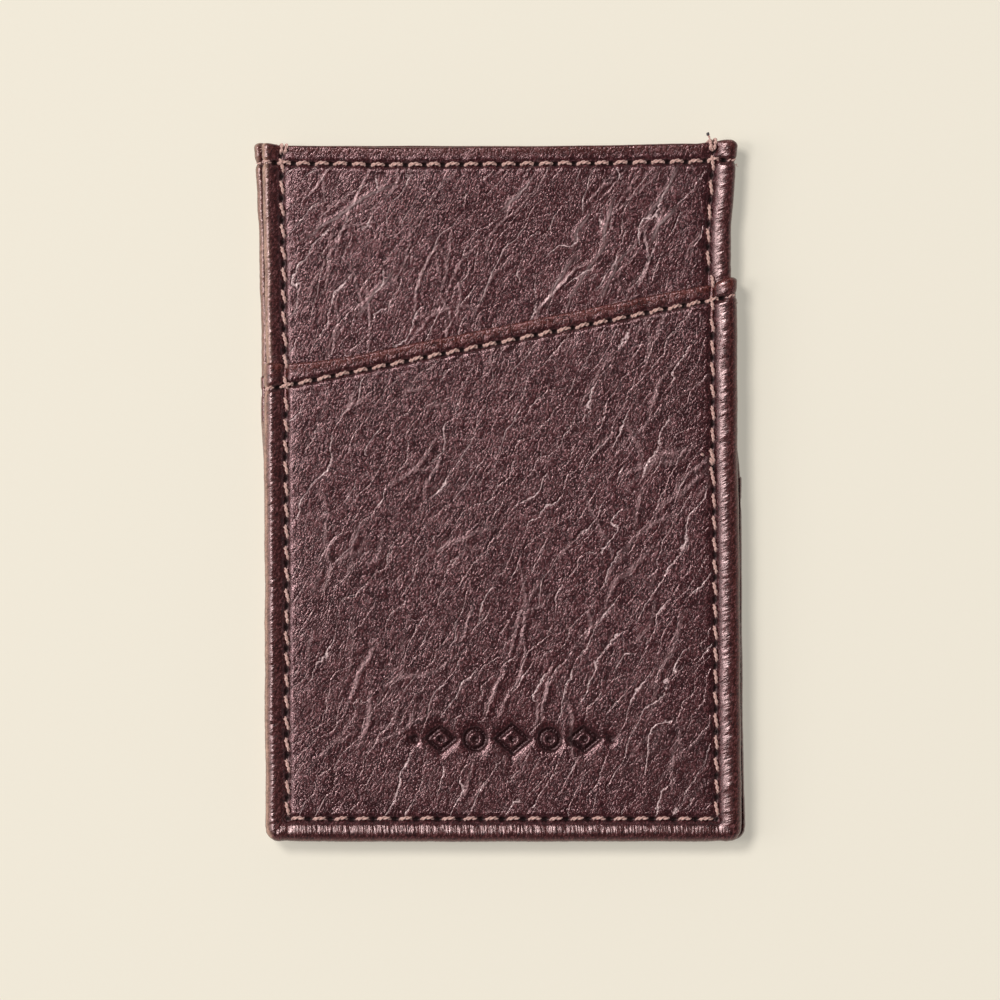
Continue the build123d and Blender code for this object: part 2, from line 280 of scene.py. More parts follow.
def edge_holes(side):
    """(left, bottom, right) holes of the edge seam, as the board's viewer sees them."""
    left = side_holes(LEFT_SEAM_X, LEFT_SEAM_STEPS)
    right = side_holes(RIGHT_SEAM_X, RIGHT_SEAM_STEPS)
    bottom = between(left[0], right[0], BOTTOM_STITCHES)
    if side == "rear":
        left, right = [(-x, y) for x, y in right], [(-x, y) for x, y in left]
        bottom = [(-x, y) for x, y in reversed(bottom)]
    return left, bottom, right


def hem_holes(side, layer):
    """Holes of a mouth's seam. One more stitch at each end goes on round the wallet's edge."""
    if layer == "panel":
        ks = range(-MOUTH_HOLES - 1, MOUTH_HOLES + 2)
        return [(k * HEM_PITCH, MOUTH_SEAM_Y) for k in ks]
    xs = [POCKET_SEAM_START + k * HEM_PITCH for k in range(-1, POCKET_STITCHES + 2)]
    return [(x, mouth_line(side, x) - POCKET_SEAM_DROP) for x in xs]


def seam_relief(a, b, holes):
    """Height change where stitches pull the leather down, and a mask of the needle holes."""
    holes = np.array(holes)
    (x0, y0), (x1, y1) = holes[0], holes[-1]
    length = np.hypot(x1 - x0, y1 - y0)
    tx, ty = (x1 - x0) / length, (y1 - y0) / length
    along = (a - x0) * tx + (b - y0) * ty
    across = (b - y0) * tx - (a - x0) * ty
    near = (np.abs(across) < 4) & (along > -2) & (along < length + 2)
    d, s = across[near], along[near]
    spots = (holes[:, 0] - x0) * tx + (holes[:, 1] - y0) * ty
    index = np.clip(np.searchsorted(spots, s), 1, len(spots) - 1)
    start, end = spots[index - 1], spots[index]
    part = np.clip((s - start) / (end - start), 0, 1)
    swell = np.sin(part * pi)
    ends = ramp(s, -1.0, 0.3) * (1 - ramp(s, length - 0.3, length + 1.0))
    hole = bell(np.minimum(s - start, end - s), 0.5) * bell(d, 0.33)
    depth = SEAM_VALLEY * np.exp(-np.abs(d) / SEAM_REACH) + 0.1 * bell(d, 0.4)
    depth = depth - 0.06 * swell * bell(np.abs(d) - 0.8, 0.4) + 0.45 * hole
    rise, holes_here = np.zeros(np.shape(a)), np.zeros(np.shape(a))
    rise[near] = -depth * ends
    holes_here[near] = hole * ends
    return rise, holes_here


# --- leather relief ---------------------------------------------------------------------


# The deepest creases of the front panel, (a, b) points in mm
MAIN_CREASES = (
    ((26.1, 46.4), (24.6, 43.0), (22.5, 40.4), (21.1, 38.3)),
    ((20.5, 35.4), (17.6, 32.8), (15.3, 27.5)),
    ((16.2, 35.7), (13.9, 32.8), (11.5, 28.9), (10.3, 26.1)),
    ((25.8, 40.4), (23.4, 37.5), (22.5, 35.7)),
    ((16.8, 41.4), (16.2, 39.0), (15.8, 35.7)),
    ((13.6, 40.0), (11.9, 37.5), (11.5, 35.1)),
    ((11.5, 33.5), (9.0, 30.4), (7.6, 27.1)),
    ((4.7, 44.7), (2.9, 42.3), (0.4, 40.1)),
    ((-14.8, 44.3), (-19.1, 42.3), (-23.9, 39.0), (-28.2, 36.1)),
    ((-15.3, 31.4), (-17.6, 28.9), (-20.1, 25.6)),
)


def random_creases(seed, count, low, high):
    """Wandering strokes that run up to the right, some with a branch, between two heights."""
    rng = np.random.default_rng(seed)
    strokes = []
    for _ in range(count):
        point = np.array([rng.uniform(-30, 30), rng.uniform(low, high)])
        heading = radians(rng.normal(60, 11))
        line = [point]
        for _ in range(rng.integers(4, 12)):
            heading += rng.normal(0, 0.2)
            point = point + rng.uniform(0.9, 2.0) * np.array([np.cos(heading), np.sin(heading)])
            line.append(point)
        strokes.append(line)
        if rng.random() < 0.45:
            fork = line[len(line) // 2]
            turned = heading + rng.choice([-0.6, 0.6])
            step = 1.5 * np.array([np.cos(turned), np.sin(turned)])
            strokes.append([fork, fork + step, fork + 2 * step + rng.normal(0, 0.3, 2)])
    return strokes


def stroke_relief(a, b, strokes, depth, width, seed):
    """A crease along each stroke: a valley with one steep wall, thinning out to its ends, and a
    mask of painted highlight along that steep, lit wall.
    """
    total, crease_glint = np.zeros(np.shape(a)), np.zeros(np.shape(a))
    rng = np.random.default_rng(seed)
    wobble_a = 0.16 * noise(a / 1.1, b / 1.1, seed) + 0.3 * noise(a / 3, b / 3, seed + 1)
    wobble_b = 0.16 * noise(a / 1.1 + 50, b / 1.1, seed)
    reach = 5 * width
    for stroke in strokes:
        line = np.array(stroke, float)
        strength = rng.uniform(0.45, 1.0)
        steps = np.linalg.norm(np.diff(line, axis=0), axis=1)
        travelled = np.append(0, np.cumsum(steps))
        low, high = line.min(0) - reach, line.max(0) + reach
        near = (a > low[0]) & (a < high[0]) & (b > low[1]) & (b < high[1])
        if not near.any():
            continue
        x, y = (a + wobble_a)[near], (b + wobble_b)[near]
        best, signed, place = np.full(x.shape, 9.0), np.zeros(x.shape), np.zeros(x.shape)
        for start, end, gone, step in zip(line, line[1:], travelled, steps):
            tangent = (end - start) / step
            along = np.clip((x - start[0]) * tangent[0] + (y - start[1]) * tangent[1], 0, step)
            dx, dy = x - start[0] - along * tangent[0], y - start[1] - along * tangent[1]
            gap = np.hypot(dx, dy)
            closer = gap < best
            best = np.where(closer, gap, best)
            signed = np.where(closer, tangent[0] * dy - tangent[1] * dx, signed)
            place = np.where(closer, gone + along, place)
        taper = np.sin(pi * np.clip(place / travelled[-1], 0.02, 0.98)) ** 0.6
        side = np.where(best < reach, signed / width, 9.0)
        shallow = -bell(side, 2.6)
        steep = 1.9 * ramp(-side, 0.0, 2.0) * (1 - ramp(-side, 2.0, 4.6)) - bell(side, 1.2)
        total[near] += depth * strength * taper * np.where(side > 0, shallow, steep)
        # painted highlight along the crease's lit wall, which also makes the leather glossier there
        crease_glint[near] = np.maximum(crease_glint[near], strength * taper * bell(side + 1.1, 0.9))
    return np.stack([total, np.minimum(crease_glint, 1)])


def ornament(a, b):
    """Distance, mm, to the lines of a blind-tooled row of dotted lozenges and rings."""
    x, y = np.abs(a - ORNAMENT[0]), b - ORNAMENT[1]
    shapes = [np.hypot(x - 14.2, y) - 0.25]
    for centre, half_width, half_height in ((0.0, 2.3, 1.9), (10.4, 2.0, 1.6)):
        across, up = np.abs(x - centre) / half_width, np.abs(y) / half_height
        scale = np.hypot(1 / half_width, 1 / half_height)
        shapes += [np.abs(across + up - 1) / scale, np.hypot(x - centre, y) - 0.15]
    ring = np.hypot(x - 5.4, y)
    shapes += [np.abs(ring - 1.4), ring - 0.15]
    return np.maximum(np.min(shapes, axis=0), 0)


def strip_rise(out, crest, rise, drop):
    """Cross-section of the roll outside the edge seam: up from the seam to a crest, then down."""
    t = np.clip(out / crest, 0, 1)
    inner = rise * (1.25 * t - 0.25 * t**5)
    past = np.maximum(out - crest, 0)
    return np.where(out > 0, inner - drop * past**2, 0)


def crease_relief(skin, a, b, seed):
    """Relief of all the creases of a skin's face, and the mask of painted highlight along their lit
    walls.
    """
    if skin.layer == "pocket":
        broad = random_creases(seed, 14, -46, 26)
        fine = random_creases(seed + 1, 60, -46, 26)
        relief = stroke_relief(a, b, broad, 0.035, 0.24, seed)
        relief += stroke_relief(a, b, fine, 0.02, 0.22, seed)
        return relief * np.array([1, 0.15])[:, None, None]
    broad = random_creases(seed, 14, 4, 46)
    fine = random_creases(seed + 1, 70, 4, 47)
    relief = stroke_relief(a, b, broad, 0.028, 0.14, seed)
    relief += 0.5 * stroke_relief(a, b, fine, 0.03, 0.14, seed + 2)
    relief *= np.array([1, 0.35])[:, None, None]
    if skin.side == "front":
        relief += 1.2 * stroke_relief(a, b, MAIN_CREASES, 0.035, 0.16, seed + 3)
    return relief


def seams_of(skin):
    """Lines of holes through a skin."""
    left, bottom, right = edge_holes(skin.side)
    seams = [left, right, hem_holes(skin.side, skin.layer)]
    return [*seams, bottom] if skin.layer == "pocket" else seams


def strips(out_left, out_right, out_foot, at_foot):
    """Height of the rolls between the edge seam and the folded edges."""
    sides = strip_rise(out_left, 2.3, 0.2, 0.03) + strip_rise(out_right, 2.0, 0.4, 0.1)
    foot = strip_rise(out_foot, 2.1, 0.32, 0.08)
    return sides * (1 - at_foot) + foot * at_foot


def corner_pleats(skin, a, b):
    """Depth of the pleats where the leather is gathered round the bottom corners."""
    past_side, past_foot = np.abs(a) - skin.flat_half, skin.flat_bottom - b
    nearer = np.minimum(past_side, past_foot)
    near = ramp(nearer, -1.5, 1.2) * (1 - ramp(nearer, 0.2, 1.4))
    fan = np.arctan2(np.maximum(past_foot, -3) + 3.2, np.maximum(past_side, -3) + 3.2)
    return 0.09 * near * (0.5 + 0.5 * np.sin(fan * 26 + np.sign(a)))


def wear(past, depth, out):
    """Mask of the warm wear along the mouth's fold and the outermost edges."""
    fold = bell(past - FOLD, 0.55) * (past > 0)
    lip = bell(depth - 0.3, 0.9) * (depth > 0)
    return np.maximum(np.maximum(fold, lip), 0.6 * ramp(out, 2.2, 3.2))


def painted_edge_highlight(skin, out, a, b, seed):
    """Mask of the pale line painted along the wallet's lit left edge, standing in for its
    highlight.
    """
    line = 3.0 if skin.layer == "pocket" else 2.5
    pale = bell(out - line, 0.35) * (0.7 + 0.3 * noise(b / 3, a / 9, seed))
    return np.clip(pale + 0.5 * bell(out - line - 0.9, 0.25), 0, 1)


def skin_relief(skin, a, b, past):
    """Height of the used leather over the smooth skin, and masks for its material."""
    seed = {"front": 100, "rear": 500}[skin.side] + (50 if skin.layer == "pocket" else 0)
    left, _, right = edge_holes(skin.side)
    depth = skin.mouth(a) - b
    h, hole = np.zeros(np.shape(a)), np.zeros(np.shape(a))
    for line in seams_of(skin):
        rise, holes_here = seam_relief(a, b, line)
        h += rise
        hole = np.maximum(hole, holes_here)

    # the rolls outside the edge seam
    out_left, out_right = left[0][0] - a, a - right[0][0]
    out = np.maximum(out_left, out_right)
    out_foot = BOTTOM_SEAM_Y - b if skin.layer == "pocket" else np.full(np.shape(a), -9.0)
    lumps = 1 + 0.35 * noise(b / 4, a / 30, seed + 1)
    at_foot = ramp(out_foot - out, -0.8, 0.8)
    h = h - 0.1 * bell(out, 0.9)
    h = h + lumps * strips(out_left, out_right, out_foot, at_foot)
    along = np.where(out_foot > out, a, b)
    out = np.maximum(out, out_foot)

    # the face swells a little between its seams, and is creased
    inside = ramp(-out, 0.5, 6.0) * ramp(depth, 3.0, 8.0)
    h = h + inside * 0.05 * noise(a / 15, b / 15, seed + 2)
    face = ramp(-out, -0.3, 0.8) * (1 - ramp(past, 0.0, 0.6))
    relief, crease_glint = crease_relief(skin, a, b, seed) * face * ramp(depth, 0.8, 3.2)
    h = h + relief
    h = h + 0.03 * noise(a / 2.2, b / 2.2, seed + 5) * face
    h = h + 0.012 * noise(a / 0.8, b / 0.8, seed + 6)

    # wrinkles across the rolled edges
    roll = ramp(out, 0.3, 1.2)
    h = h + 0.03 * roll * noise(along / 0.6, out / 2.5, seed + 7) * lumps
    if skin.layer == "pocket":
        h = h - corner_pleats(skin, a, b)

    tooled = np.zeros(np.shape(a))
    loose = face * ramp(depth, 2.0, 4.0)
    if (skin.side, skin.layer) == ("front", "pocket"):
        line = ornament(a, b)
        tooled = 1 - ramp(line, 0.24, 0.46)
        loose = loose * (1 - bell(line, 1.8))
        h = h * (1 - 0.8 * bell(line, 1.0)) - 0.3 * tooled - 0.2 * bell(line, 0.75)
    h = np.maximum(h, -0.5)
    if (skin.side, skin.layer) == ("rear", "pocket"):
        h = np.minimum(h - 0.1, -0.002)  # stays clear of the table
    # painted highlight on the same edge of the wallet for both boards: the one that faces the lamps
    lit_edge_out = out_left if skin.side == "front" else out_right
    return h, {"worn": wear(past, depth, out), "roll": roll, "hole": hole, "crease_glint": crease_glint,
               "pale": painted_edge_highlight(skin, lit_edge_out, a, b, seed + 8), "tooled": tooled,
               "loose": loose, "foot": at_foot}


# --- meshes -----------------------------------------------------------------------------

# Distance between grid lines over the open face of each skin
SPACING = {("front", "panel"): 0.2, ("front", "pocket"): 0.36,
           ("rear", "panel"): 0.32, ("rear", "pocket"): 0.32}
EDGE_SPACING = 0.2
SEAM_SPACING = 0.12
HEM_BAND = 4.6  # the hem and its seam, where grid lines follow the mouth
HEM_TUCK = 6.5  # how far the hem reaches in behind the mouth
LAYER_CORNER = 1.2  # plan radius of a lining's or stiffener's bottom corners
LAYER_GRID = (61, 81)  # its grid lines across and up


def spaced(*runs):
    """Grid lines along (start, end, spacing) runs that follow one another."""
    parts = []
    for start, end, spacing in runs:
        count = max(1, round(abs(end - start) / spacing))
        parts.append(np.linspace(start, end, count + 1)[:-1])
    return np.append(np.concatenate(parts), runs[-1][1])


def make_object(name, points, faces, material, replaces=(), attributes=()):
    """A smooth mesh object from points in mm, riding on the wallet."""
    mesh = bpy.data.meshes.new(name)
    mesh.from_pydata((np.asarray(points) * MM).tolist(), [], [list(face) for face in faces])
    mesh.polygons.foreach_set("use_smooth", [True] * len(mesh.polygons))
    for key, values in attributes:
        layer = mesh.attributes.new(key, "FLOAT", "POINT")
        layer.data.foreach_set("value", np.asarray(values, np.float32).ravel())
    mesh.update()
    mesh.materials.append(material)
    made = bpy.data.objects.new(name, mesh)
    bpy.context.scene.collection.objects.link(made)
    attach(made, "root")
    if replaces:
        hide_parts(*replaces)
    return made


def grid_faces(rows, columns, flip=False):
    """Quads of a rows by columns grid of points."""
    index = np.arange(rows * columns).reshape(rows, columns)
    quads = np.stack([index[:-1, :-1], index[:-1, 1:], index[1:, 1:], index[1:, :-1]], -1)
    quads = quads.reshape(-1, 4)
    return quads[:, ::-1] if flip else quads


def column_lines(skin, spacing):
    """Grid lines across a skin, close together over the seams and the folds."""
    left, _, right = edge_holes(skin.side)
    left_x, right_x = left[0][0], right[0][0]
    end = skin.flat_half + skin.reach
    middle = [(left_x + 1.0, right_x - 1.0, spacing)]
    if (skin.side, skin.layer) == ("front", "pocket"):
        low, high = ORNAMENT[0] - ORNAMENT_HALF[0], ORNAMENT[0] + ORNAMENT_HALF[0]
        middle = [(left_x + 1.0, low, spacing), (low, high, 0.18), (high, right_x - 1.0, spacing)]
    return spaced(
        (-end, left_x - 1.0, EDGE_SPACING), (left_x - 1.0, left_x + 1.0, SEAM_SPACING), *middle,
        (right_x - 1.0, right_x + 1.0, SEAM_SPACING), (right_x + 1.0, end, EDGE_SPACING),
    )


def row_lines(skin, a, spacing):
    """Grid lines up a skin: heights at each a, and distances over the mouth's fold."""
    if skin.layer == "pocket":
        low, high = ORNAMENT[1] - ORNAMENT_HALF[1], ORNAMENT[1] + ORNAMENT_HALF[1]
        level = spaced(
            (skin.flat_bottom - skin.reach, BOTTOM_SEAM_Y - 1, 0.2),
            (BOTTOM_SEAM_Y - 1, BOTTOM_SEAM_Y + 1.2, 0.11),
            (BOTTOM_SEAM_Y + 1.2, low, 0.36), (low, high, 0.16),
        )
    else:
        hidden = mouth_height(skin.side, a).min() - 5  # coarse where the pocket covers it
        level = spaced((skin.flat_bottom - skin.reach, skin.flat_bottom, 0.3),
                       (skin.flat_bottom, hidden, 2.5))
    start = skin.mouth(a) - FOLD
    middle = round((start.mean() - HEM_BAND - level[-1]) / spacing)
    fractions = np.linspace(0, 1, middle + 1)[1:-1]
    offsets = spaced((-HEM_BAND, -3.4, 0.25), (-3.4, -1.2, 0.11), (-1.2, 0, 0.2))
    past = spaced((0, pi * FOLD, 0.1), (pi * FOLD, pi * FOLD + HEM_TUCK, 0.5))[1:]
    top = start - HEM_BAND
    rows = [np.full_like(a, y) for y in level]
    rows += [level[-1] + f * (top - level[-1]) for f in fractions]
    rows += [start + o for o in offsets]
    rows += [start for _ in past]
    over = np.append(np.zeros(len(rows) - len(past)), past)
    return np.array(rows), over


def leather(skin, material):
    """One leather skin as a mesh, with its relief."""
    spacing = SPACING[skin.side, skin.layer]
    a = column_lines(skin, spacing)
    b, over = row_lines(skin, a, spacing)
    past = over[:, None] + 0 * b
    grid_a = np.broadcast_to(a, b.shape)
    h, masks = skin_relief(skin, grid_a, b, past)
    points, normals = skin.place(grid_a, b, past)
    points = points + normals * h[..., None]
    points = settled(skin.side, skin.layer, points)
    # the rear board is drawn as seen from behind, so half a turn keeps its faces outwards
    faces = grid_faces(*b.shape)
    name = f"{skin.side}_{skin.layer}_leather"
    return make_object(name + "_skin", points.reshape(-1, 3), faces, material, [name],
                       masks.items())


def plate(side, layer, name, half, low, mouth, bottom, thickness, material, node):
    """A thin closed sheet between two heights inside a board, gently uneven."""
    columns, rows = LAYER_GRID
    a = np.linspace(-half, half, columns)
    over = np.clip(np.abs(a) - (half - LAYER_CORNER), 0, LAYER_CORNER)
    foot = low + LAYER_CORNER - np.sqrt(LAYER_CORNER**2 - over**2)
    part = np.linspace(0, 1, rows)[:, None]
    b = foot + part * (mouth(a) - foot)
    grid_a = np.broadcast_to(a, b.shape)
    wave = 0.02 * noise(grid_a / 9, b / 9, 900)
    under = np.stack([grid_a, b, bottom + wave], -1)
    upper = np.stack([grid_a, b, bottom + thickness + wave], -1)
    points = settled(side, layer, np.stack([under, upper]))
    count = rows * columns
    quads = [grid_faces(rows, columns, True), grid_faces(rows, columns) + count]
    index = np.arange(count).reshape(rows, columns)
    rim = np.concatenate([index[0, :-1], index[:-1, -1], index[-1, :0:-1], index[:0:-1, 0]])
    after = np.roll(rim, -1)
    quads.append(np.stack([rim, after, after + count, rim + count], -1))
    return make_object(name, points.reshape(-1, 3), np.concatenate(quads), material, [node])


# --- thread -----------------------------------------------------------------------------

THREAD_R = 0.27  # of the whole two-ply thread
TAIL_TIP = (29.9, 50.75, PANEL_FACE + 0.1)  # where the cut end of the edge seam is melted
LAY = 1.5  # length of one turn of the plies
SIDES = 8  # of a ply's section
STITCH_REACH = 0.3  # of the pitch, from a stitch's middle to where it dips into its hole
STITCH_POINTS = 21
SINK = 0.75  # how far its ends dip in


def twisted(path, up, radius=THREAD_R, phase=0.0):
    """Points and faces of a two-ply thread along a path, with up the side away from the work."""
    tangent = np.gradient(path, axis=0)
    tangent /= np.linalg.norm(tangent, axis=1)[:, None]
    side = np.cross(tangent, up)
    side /= np.linalg.norm(side, axis=1)[:, None]
    up = np.cross(side, tangent)
    travelled = np.append(0, np.cumsum(np.linalg.norm(np.diff(path, axis=0), axis=1)))
    ring = np.arange(SIDES) * 2 * pi / SIDES
    points, faces = [], []
    for ply in range(2):
        turn = phase + 2 * pi * travelled / LAY + ply * pi
        centre = path + radius * 0.46 * (np.cos(turn)[:, None] * side + np.sin(turn)[:, None] * up)
        spokes = np.cos(ring)[:, None] * side[:, None] + np.sin(ring)[:, None] * up[:, None]
        tube = centre[:, None] + radius * 0.56 * spokes
        start = sum(len(p) for p in points)
        index = start + np.arange(len(path) * SIDES).reshape(len(path), SIDES)
        after = np.roll(index, -1, axis=1)
        quads = np.stack([index[:-1], after[:-1], after[1:], index[1:]], -1).reshape(-1, 4)
        faces += quads.tolist()
        faces += [index[0, ::-1].tolist(), index[-1].tolist()]
        points.append(tube.reshape(-1, 3))
    return np.concatenate(points), faces


def stitch_path(start, end, crown, slant, bow):
    """(a, b, lift) along a stitch, between two holes. slant sets its ends to either side of the
    seam's line, and bow bends its middle off it."""
    (x0, y0), (x1, y1) = start, end
    length = np.hypot(x1 - x0, y1 - y0)
    nx, ny = -(y1 - y0) / length, (x1 - x0) / length
    v = np.linspace(-1, 1, STITCH_POINTS)
    u = 0.5 + STITCH_REACH * v
    off = slant * v + bow * (1 - v**2)
    lift = crown - 0.15 * v**2 - SINK * v**6
    return x0 + (x1 - x0) * u + nx * off, y0 + (y1 - y0) * u + ny * off, lift


def lay_stitch(surface, side, layer, start, end, crown, slant, bow, phase):
    """One stitch on a surface, which gives points and normals for (a, b, lift)."""
    a, b, lift = stitch_path(start, end, crown, slant, bow)
    path, normals = surface(a, b, lift)
    shifted = settled(side, layer, path)
    up = normals.copy()
    if side == "rear":
        up[:, 0], up[:, 2] = -up[:, 0], -up[:, 2]
    return twisted(shifted, up, phase=phase)


def merge(parts):
    """Joins (points, faces) parts into one."""
    points, faces, count = [], [], 0
    for p, f in parts:
        points.append(p)
        faces += [[i + count for i in face] for face in f]
        count += len(p)
    return np.concatenate(points), faces


def on_board(side, layer):
    """Surface of a skin for stitches."""
    skin = pocket_skin(side) if layer == "pocket" else panel_skin(side)

    def surface(a, b, lift):
        return skin.place(a, b, lift=lift)

    return surface


def over_the_mouth(side):
    """Surface that passes from the pocket's face down to the panel's at the pocket's mouth."""
    pocket, panel = pocket_skin(side), panel_skin(side)

    def surface(a, b, lift):
        high, normals = pocket.place(a, b, lift=lift)
        low, _ = panel.place(a, b, lift=lift)
        share = ramp(b - mouth_height(side, a), -0.2, 1.5)[:, None]
        return high * (1 - share) + low * share, normals

    return surface


def inside_board(height):
    """Surface on the inner side of a board, at a height over the mid-plane."""

    def surface(a, b, lift):
        points = np.stack([a, b, height - lift], -1)
        return points, np.broadcast_to([0.0, 0.0, -1.0], points.shape)

    return surface


def seam_stitches(side, layer, surface, holes, crown, slant, bow, seed):
    """Stitches along a line of holes, each a little different."""
    rng = np.random.default_rng(seed)
    parts = []
    for start, end in zip(holes, holes[1:]):
        jitter = rng.normal(0, 1, 4)
        parts.append(lay_stitch(
            surface, side, layer, start, end, crown + 0.015 * jitter[0],
            slant + 0.03 * jitter[1], bow + 0.02 * jitter[2], 1.5 * jitter[3],
        ))
    return parts


def crown_height(side):
    """Height of a stitch's middle over the leather: the rear's stay clear of the table."""
    return -0.02 if side == "front" else -0.33


def edge_thread(side):
    """The edge seam's stitches on one board."""
    crown = crown_height(side)
    left, bottom, right = edge_holes(side)
    parts = []
    for line, seed, slant in ((left, 1, 0.27), (right, 2, 0.22)):
        for start, end in zip(line, line[1:]):
            edge = float(mouth_height(side, np.array(start[0])))
            if end[1] < edge:
                layer, surface = "pocket", on_board(side, "pocket")
            elif start[1] < edge:
                layer, surface = "pocket", over_the_mouth(side)
            else:
                layer, surface = "panel", on_board(side, "panel")
            height = crown if layer == "pocket" or side == "front" else 0.0
            parts += seam_stitches(side, layer, surface, [start, end], height, slant, 0.0,
                                   seed * 1000 + round(start[1] * 10) + 600)
    surface = on_board(side, "pocket")
    parts += seam_stitches(side, "pocket", surface, bottom, crown, 0.08, 0.18, 3)
    return parts


def mouth_loop(x, sway, height):
    """Thread that binds both boards over the mouth edge. sway is how far it leans to the right,
    and height how much more it rises than an ordinary loop."""
    top, y0 = MOUTH_EDGE, SEAM_TOP
    beside = top + 0.25 + 0.3 * height
    knots = [
        (x, y0 + 0.2, PANEL_FACE - 0.5), (x + sway * 0.3, y0 + 0.45, PANEL_FACE + 0.12),
        (x + sway * 0.7, top - 0.4, PANEL_FACE + 0.2), (x + sway, beside, PANEL_FACE * 0.75),
        (x + sway, top + 0.3 + height, 0.0), (x + sway, beside, -PANEL_FACE * 0.75),
        (x + sway * 0.7, top - 0.4, -PANEL_FACE - 0.2),
        (x + sway * 0.3, y0 + 0.45, -PANEL_FACE - 0.12), (x, y0 + 0.2, -PANEL_FACE + 0.5),
    ]
    path = curve_through(np.array(knots), 8)
    front = settled("front", "panel", path)
    rear = settled("rear", "panel", path * [-1, 1, -1])
    share = ramp(path[:, 2], -PANEL_FACE, PANEL_FACE)[:, None]
    path = front * share + rear * (1 - share)
    centre = np.array([0, y0, MID])
    up = path - centre
    up[:, 0] = 0
    return twisted(path, up)


def back_tack():
    """Short doubled stitches part way down the right seam, where its sewing starts."""
    surface = on_board("front", "pocket")
    holes = [(RIGHT_SEAM_X - 0.22, y) for y in (2.3, 3.7, 5.0, 6.3)]
    return seam_stitches("front", "pocket", surface, holes, 0.05, 0.16, 0.0, 71)


def loose_end(knots, radius):
    """One loose fibre or thread end through (a, b, w) knots on the front board."""
    path = curve_through(np.array(knots, float), 6)
    up = np.broadcast_to([0.0, 0.0, 1.0], path.shape)
    return twisted(settled("front", "panel", path), up, radius)


def loose_ends():
    """The cut tail at the top right and the fluff where the seams cross."""
    top, face = MOUTH_EDGE, PANEL_FACE
    ends = [
        loose_end([(RIGHT_SEAM_X - 0.2, top - 1.4, face),
                   (RIGHT_SEAM_X - 0.45, top - 0.5, face + 0.3),
                   (RIGHT_SEAM_X - 0.75, top + 0.4, face + 0.2), TAIL_TIP], 0.15),
        loose_end([(29.6, 5.5, POCKET_FACE + 0.1), (29.5, 5.3, POCKET_FACE + 0.25),
                   (29.75, 5.2, POCKET_FACE + 0.1)], 0.16),
    ]
    rng = np.random.default_rng(5)
    spots = [(-34.3, 48.7, 1.0), (-34.5, 46.9, 0.9), (LEFT_SEAM_X, 47.2, face + 0.2),
             (34.4, 46.6, 0.8), (34.6, 27.4, 1.6), (-34.5, 14.2, 1.8), (RIGHT_SEAM_X, 48.6, face)]
    for spot in spots:
        for _ in range(3):
            reach = rng.normal(0, 0.16, (3, 3))
            knots = np.array(spot) + np.cumsum(np.vstack([np.zeros(3), reach]), axis=0)
            ends.append(loose_end(knots, 0.035))
    return ends


def melted_end(material):
    """The dark bead that the cut tail of the edge seam was melted to."""
    turn, rise = np.meshgrid(np.linspace(0, 2 * pi, 25)[:-1], np.linspace(0.02, pi - 0.02, 15))
    way = np.stack([np.sin(rise) * np.cos(turn), np.sin(rise) * np.sin(turn), np.cos(rise)], -1)
    size = 0.23 * (1 + 0.25 * noise(way[..., 0] * 2 + 5, way[..., 1] * 2 + way[..., 2], 31))
    points = settled("front", "panel", np.array(TAIL_TIP) + way * size[..., None] * [1, 1.2, 1])
    rows, columns = turn.shape
    index = np.arange(rows * columns).reshape(rows, columns)
    index = np.hstack([index, index[:, :1]])
    quads = np.stack([index[:-1, :-1], index[1:, :-1], index[1:, 1:], index[:-1, 1:]], -1)
    faces = [*quads.reshape(-1, 4).tolist(), index[0, :-1].tolist(), index[-1, :0:-1].tolist()]
    make_object("edge_seam_melted_end", points.reshape(-1, 3), faces, material)


def curve_through(knots, steps):
    """Points of a smooth curve through knots."""
    before = np.vstack([2 * knots[0] - knots[1], knots, 2 * knots[-1] - knots[-2]])
    t = np.linspace(0, 1, steps, endpoint=False)[:, None]
    out = []
    for p0, p1, p2, p3 in zip(before, before[1:], before[2:], before[3:]):
        out.append(0.5 * (2 * p1 + (p2 - p0) * t + (2 * p0 - 5 * p1 + 4 * p2 - p3) * t**2
                          + (3 * p1 - p0 - 3 * p2 + p3) * t**3))
    return np.vstack([*out, knots[-1:]])


# --- materials --------------------------------------------------------------------------


